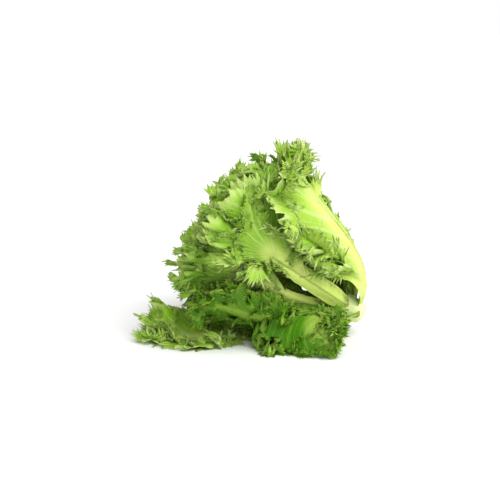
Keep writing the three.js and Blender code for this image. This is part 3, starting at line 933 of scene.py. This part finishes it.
def leaf_material(name, colours, main_veins):
    """Fresh leaf: pale rib, green blade darkened by age and by painted shade, veins lightened partly by a
    painted highlight, a thin fringe lightened by a painted highlight and a paler underside.
    """
    if name in bpy.data.materials:
        return bpy.data.materials[name]
    material, t, shader = principled(name, {
        "Subsurface Weight": 0.22, "Subsurface Radius": (0.6, 1.0, 0.08), "Subsurface Scale": 0.004,
        "Specular IOR Level": 0.12})
    veins = node(t, "ShaderNodeGroup", node_tree=vein_group())
    veins.inputs["Main veins"].default_value = main_veins
    mark = {key: node(t, "ShaderNodeAttribute", attribute_name=key).outputs["Fac"] for key in MARKS}
    cloud = noise(t, 24.0, 3.0)

    def share(value, factor):
        """Output of a value times a factor."""
        return math_node(t, "MULTIPLY", value, factor)

    patch = share(math_node(t, "SUBTRACT", cloud, 0.5), 0.7)
    # the shade mark is a leaf's age and, on a leaf set dark for lying in shadow, painted shade
    age_and_shade = math_node(t, "ADD", mark["shade"], patch, clamp=True)
    pale = mix_colour(t, share(mark["pale"], 0.85), rgb(colours.rib), rgb(colours.rib_old))
    green = mix_colour(t, age_and_shade, rgb(colours.young_blade), rgb(colours.old_blade))
    # the fringe colours are a painted highlight: lighter greens for the edge's sheen and the light shining
    # through it
    fringe_highlight = mix_colour(t, age_and_shade, rgb(colours.young_fringe_highlight), rgb(colours.old_fringe_highlight))
    # whitish vein colour: the veins' own paleness and a painted highlight of the streaky light on the fine
    # pleats
    vein_and_highlight = mix_colour(t, share(mark["shade"], 0.95), rgb(colours.vein_and_highlight), rgb(colours.rib_old))
    greened = math_node(t, "ADD", mark["green"], share(patch, 0.4), clamp=True)
    colour = mix_colour(t, greened, pale, green)
    # lays the painted highlight on the fringe
    colour = mix_colour(t, share(mark["fringe_highlight"], 0.95), colour, fringe_highlight)
    # lays the lighter veins on, partly as painted highlight streaks
    colour = mix_colour(t, share(veins.outputs["Vein"], 0.62), colour, vein_and_highlight)
    colour = mix_colour(t, share(veins.outputs["Net"], 0.07), colour, pale)
    colour = mix_colour(t, range_node(t, mark["rib"], 0.05, 0.8), colour, pale)
    colour = mix_colour(t, share(mark["underside"], 0.10), colour, rgb(colours.underside))
    t.links.new(colour, shader.inputs["Base Color"])
    t.links.new(range_node(t, cloud, 0.3, 0.7, 0.38, 0.56), shader.inputs["Roughness"])
    bumped(t, shader, veins.outputs["Height"], 0.75, 0.0010)
    return material


def stem_material(colours):
    """Moist pale stem, browned a little in spots at the cut."""
    material, t, shader = principled("Cut stem", {
        "Subsurface Weight": 0.2, "Subsurface Radius": (1.0, 1.0, 0.4), "Subsurface Scale": 0.004})
    spots = noise(t, 140.0, 5.0)
    cut = node(t, "ShaderNodeAttribute", attribute_name="cut").outputs["Fac"]
    brown = math_node(t, "MULTIPLY", cut, range_node(t, spots, 0.38, 0.68, 0.25, 0.9))
    t.links.new(mix_colour(t, brown, rgb(colours.stem), rgb(colours.stem_cut)), shader.inputs["Base Color"])
    t.links.new(range_node(t, spots, 0.3, 0.7, 0.4, 0.6), shader.inputs["Roughness"])
    bumped(t, shader, spots, 0.35, 0.0006)
    return material


# ---- what a user may change ----
class LettuceSizes(bpy.types.PropertyGroup):
    """Sizes of what is laid over the smooth leaves"""
    ruffle_large: FloatProperty(name="Blade waves", description="Height of the slow waves of the blade",
                                default=0.0080, min=0, max=0.03, subtype="DISTANCE", unit="LENGTH")
    ruffle_medium: FloatProperty(name="Folds", description="Height of the folds of the lobes",
                                 default=0.0030, min=0, max=0.02, subtype="DISTANCE", unit="LENGTH")
    ruffle_small: FloatProperty(name="Crimps", description="Height of the crimps at the edge",
                                default=0.0012, min=0, max=0.01, subtype="DISTANCE", unit="LENGTH")
    lobe_depth: FloatProperty(name="Lobe depth", description="How deep the edge is cut between its lobes",
                              default=0.016, min=0, max=0.05, subtype="DISTANCE", unit="LENGTH")
    notch_depth: FloatProperty(name="Notch depth", description="How deep a lobe is cut between its pleats",
                               default=0.005, min=0, max=0.02, subtype="DISTANCE", unit="LENGTH")
    lobe_lift: FloatProperty(name="Lobe lift", description="How far the lobes rise out of the blade",
                             default=0.012, min=0, max=0.03, subtype="DISTANCE", unit="LENGTH")
    lobe_spread: FloatProperty(name="Lobe spread", description="How much wider a lobe grows than its place",
                               default=0.80, min=0, max=1.5)
    finger_length: FloatProperty(name="Finger length", description="Length of the edge's pointed fingers",
                                 default=0.0078, min=0, max=0.012, subtype="DISTANCE", unit="LENGTH")
    frill_length: FloatProperty(name="Small lobe length", description="Length of the edge's small lobes",
                                default=0.018, min=0.002, max=0.04, subtype="DISTANCE", unit="LENGTH")
    frill_spacing: FloatProperty(name="Small lobe spacing", description="Distance between the small lobes",
                                 default=0.012, min=0.004, max=0.04, subtype="DISTANCE", unit="LENGTH")
    foot_depth: FloatProperty(name="Foot depth", description="How far a leaf's foot runs into the stem",
                              default=0.004, min=0, max=0.008, subtype="DISTANCE", unit="LENGTH")
    rib_width: FloatProperty(name="Rib width", description="Width of the pale rib at the middle of a leaf",
                             default=0.020, min=0.004, max=0.04, subtype="DISTANCE", unit="LENGTH")
    rib_height: FloatProperty(name="Rib height", description="How far the rib stands out at the leaf's foot",
                              default=0.0024, min=0, max=0.006, subtype="DISTANCE", unit="LENGTH")
    blade_thickness: FloatProperty(name="Blade thickness", description="Thickness of a leaf's blade",
                                   default=0.0008, min=0.0003, max=0.002, subtype="DISTANCE", unit="LENGTH")


class LettuceColours(bpy.types.PropertyGroup):
    """Colours of the leaves and the stem"""
    rib: FloatVectorProperty(name="Rib", description="Pale rib of a young leaf", subtype="COLOR", size=3,
                             min=0, max=1, default=(0.71, 0.84, 0.20))
    # whitish veins: partly their own paleness, partly a painted highlight of the fine pleats
    vein_and_highlight: FloatVectorProperty(name="Veins", description="Veins of the blade", subtype="COLOR", size=3,
                              min=0, max=1, default=(0.66, 0.80, 0.36))
    rib_old: FloatVectorProperty(name="Old rib", description="Rib of an outer leaf", subtype="COLOR", size=3,
                                 min=0, max=1, default=(0.17, 0.34, 0.012))
    young_blade: FloatVectorProperty(name="Young blade", description="Blade of a young leaf",
                                     subtype="COLOR", size=3, min=0, max=1, default=(0.30, 0.55, 0.018))
    # painted highlight on a young leaf's edge: sheen and light shining through it
    young_fringe_highlight: FloatVectorProperty(name="Young fringe", description="Fringe of a young leaf",
                                      subtype="COLOR", size=3, min=0, max=1, default=(0.66, 0.80, 0.30))
    old_blade: FloatVectorProperty(name="Old blade", description="Blade of an outer leaf",
                                   subtype="COLOR", size=3, min=0, max=1, default=(0.050, 0.205, 0.001))
    # painted highlight on an outer leaf's edge: sheen and light shining through it
    old_fringe_highlight: FloatVectorProperty(name="Old fringe", description="Fringe of an outer leaf", subtype="COLOR",
                                    size=3, min=0, max=1, default=(0.26, 0.46, 0.04))
    underside: FloatVectorProperty(name="Underside", description="Bloom on the underside of a leaf",
                                   subtype="COLOR", size=3, min=0, max=1, default=(0.42, 0.60, 0.12))
    stem: FloatVectorProperty(name="Stem", description="Flesh of the stem", subtype="COLOR", size=3,
                              min=0, max=1, default=(0.82, 0.91, 0.42))
    stem_cut: FloatVectorProperty(name="Cut face", description="Browned part of the cut face",
                                  subtype="COLOR", size=3, min=0, max=1, default=(0.45, 0.33, 0.13))


class StageSettings(bpy.types.PropertyGroup):
    """Camera, light and floor"""
    camera_rise: FloatProperty(name="Camera rise", description="How far the camera looks down",
                               default=math.radians(11), subtype="ANGLE", unit="ROTATION")
    key_power: FloatProperty(name="Main light", description="Strength of the main soft light",
                             default=3.2, min=0)
    room_light: FloatProperty(name="Room light", description="Strength of the light from all around",
                              default=0.55, min=0)
    floor_tone: FloatVectorProperty(name="Floor", description="Colour of the plain floor", subtype="COLOR",
                                    size=3, min=0, max=1, default=(0.97, 0.97, 0.97))


# ---- the pieces ----
def grow_leaves(leaves, material_name, main_veins, seed):
    """Builds each leaf of a list in one material; leaves differ in their random seed."""
    scene = bpy.context.scene
    material = leaf_material(material_name, scene.lettuce_colours, main_veins)
    offset = head_offset()
    for i, leaf in enumerate(leaves):
        points, faces, uvs, marks = leaf_mesh(leaf, seed + i, scene.lettuce_sizes)
        build_object(leaf["name"], (points + offset) * MM, faces, uvs, marks, material)


class LETTUCE_OT_outer_leaves(bpy.types.Operator):
    """Add the large, open leaves around the outside of the head"""
    bl_idname = "lettuce.outer_leaves"
    bl_label = "Outer Leaves"

    def execute(self, context):
        grow_leaves(OUTER_LEAVES, "Outer leaf", main_veins=11.0, seed=100)
        return {"FINISHED"}


class LETTUCE_OT_middle_leaves(bpy.types.Operator):
    """Add the upright leaves between the outer leaves and the heart"""
    bl_idname = "lettuce.middle_leaves"
    bl_label = "Middle Leaves"

    def execute(self, context):
        grow_leaves(MIDDLE_LEAVES, "Middle leaf", main_veins=10.0, seed=200)
        return {"FINISHED"}


class LETTUCE_OT_inner_leaves(bpy.types.Operator):
    """Add the small pale leaves of the heart"""
    bl_idname = "lettuce.inner_leaves"
    bl_label = "Inner Leaves"

    def execute(self, context):
        grow_leaves(INNER_LEAVES, "Inner leaf", main_veins=7.0, seed=300)
        return {"FINISHED"}


class LETTUCE_OT_stem(bpy.types.Operator):
    """Add the short stem with its cut face"""
    bl_idname = "lettuce.stem"
    bl_label = "Stem"

    def execute(self, context):
        points, faces, marks = stem_mesh()
        material = stem_material(context.scene.lettuce_colours)
        build_object("stem", (points + head_offset()) * MM, faces, None, marks, material)
        return {"FINISHED"}


# ---- the stage, in metres ----
FLOOR_REACH = 25.0
LAMP_FROM = (0.50, -0.72, 0.90)     # the main light comes from the right, the front and above
LAMP_SPREAD = math.radians(55)
LENS = 85                           # camera's lens and sensor, in millimetres
SENSOR = 36
VIEW_WIDTH = 0.525                  # what the camera takes in across the head
AIM = (-0.1113, 0.0640)             # from the cut face to the middle of the view: along X, and up in the view


def add_floor(scene, stage):
    """Plain pale floor at height 0."""
    mesh = bpy.data.meshes.new("floor")
    s = FLOOR_REACH
    mesh.from_pydata([(-s, -s, 0), (s, -s, 0), (s, s, 0), (-s, s, 0)], [], [(0, 1, 2, 3)])
    floor = bpy.data.objects.new("floor", mesh)
    scene.collection.objects.link(floor)
    inputs = {"Base Color": rgb(stage.floor_tone), "Roughness": 0.8, "Specular IOR Level": 0.1}
    mesh.materials.append(principled("Pale floor", inputs)[0])


def add_light(scene, stage):
    """One broad soft lamp, and white all around that the camera sees brighter than it lights the head."""
    world = bpy.data.worlds.new("Soft room")
    scene.world = world
    world.use_nodes = True
    tree = world.node_tree
    back = tree.nodes["Background"]
    back.inputs["Color"].default_value = (1, 1, 1, 1)
    seen = node(tree, "ShaderNodeLightPath").outputs["Is Camera Ray"]
    tree.links.new(range_node(tree, seen, 0, 1, stage.room_light, 1.0, smooth=False), back.inputs["Strength"])
    lamp = bpy.data.lights.new("key", "SUN")
    lamp.angle = LAMP_SPREAD
    lamp.energy = stage.key_power
    key = bpy.data.objects.new("key", lamp)
    key.rotation_euler = Vector(LAMP_FROM).to_track_quat("Z", "Y").to_euler()
    scene.collection.objects.link(key)


def add_camera(scene, stage):
    """Camera in front of the head, a little above it."""
    camera = bpy.data.cameras.new("camera")
    camera.lens = LENS
    camera.sensor_width = SENSOR
    view = bpy.data.objects.new("camera", camera)
    rise = stage.camera_rise
    back_to = Vector((0, -math.cos(rise), math.sin(rise)))
    up = Vector((0, math.sin(rise), math.cos(rise)))
    aim = Vector(head_offset() * MM) + Vector((AIM[0], 0, 0)) + up * AIM[1]
    view.location = aim + back_to * (VIEW_WIDTH * LENS / SENSOR)
    view.rotation_euler = (-back_to).to_track_quat("-Z", "Y").to_euler()
    scene.collection.objects.link(view)
    scene.camera = view


class LETTUCE_OT_stage(bpy.types.Operator):
    """Add the pale floor, the soft lights and the camera"""
    bl_idname = "lettuce.stage"
    bl_label = "Stage"

    def execute(self, context):
        scene = context.scene
        scene.view_settings.view_transform = "Standard"
        scene.view_settings.look = "None"
        add_floor(scene, scene.lettuce_stage)
        add_light(scene, scene.lettuce_stage)
        add_camera(scene, scene.lettuce_stage)
        return {"FINISHED"}


# ---- the add-on ----
OPERATORS = (LETTUCE_OT_stage, LETTUCE_OT_stem, LETTUCE_OT_outer_leaves, LETTUCE_OT_middle_leaves,
             LETTUCE_OT_inner_leaves)
SETTINGS = {"lettuce_sizes": LettuceSizes, "lettuce_colours": LettuceColours, "lettuce_stage": StageSettings}


class LETTUCE_PT_panel(bpy.types.Panel):
    """Panel that lists the settings and the pieces of the lettuce"""
    bl_idname = "LETTUCE_PT_panel"
    bl_label = "Lettuce"
    bl_space_type = "VIEW_3D"
    bl_region_type = "UI"
    bl_category = "Lettuce"

    def draw(self, context):
        column = self.layout.column()
        for name, group in SETTINGS.items():
            for key in group.__annotations__:
                column.prop(getattr(context.scene, name), key)
        for operator in OPERATORS:
            column.operator(operator.bl_idname)


CLASSES = tuple(SETTINGS.values()) + OPERATORS + (LETTUCE_PT_panel,)


def register():
    """Registers the classes and hangs the settings on the scene."""
    for cls in CLASSES:
        bpy.utils.register_class(cls)
    for name, group in SETTINGS.items():
        setattr(bpy.types.Scene, name, PointerProperty(type=group))


def unregister():
    """Takes the settings and the classes away again."""
    for name in SETTINGS:
        delattr(bpy.types.Scene, name)
    for cls in reversed(CLASSES):
        bpy.utils.unregister_class(cls)


def main():
    """Builds the stage and the head."""
    register()
    bpy.ops.lettuce.stage()
    bpy.ops.lettuce.stem()
    bpy.ops.lettuce.outer_leaves()
    bpy.ops.lettuce.middle_leaves()
    bpy.ops.lettuce.inner_leaves()
    bpy.context.view_layer.update()


if __name__ == "__main__":
    main()
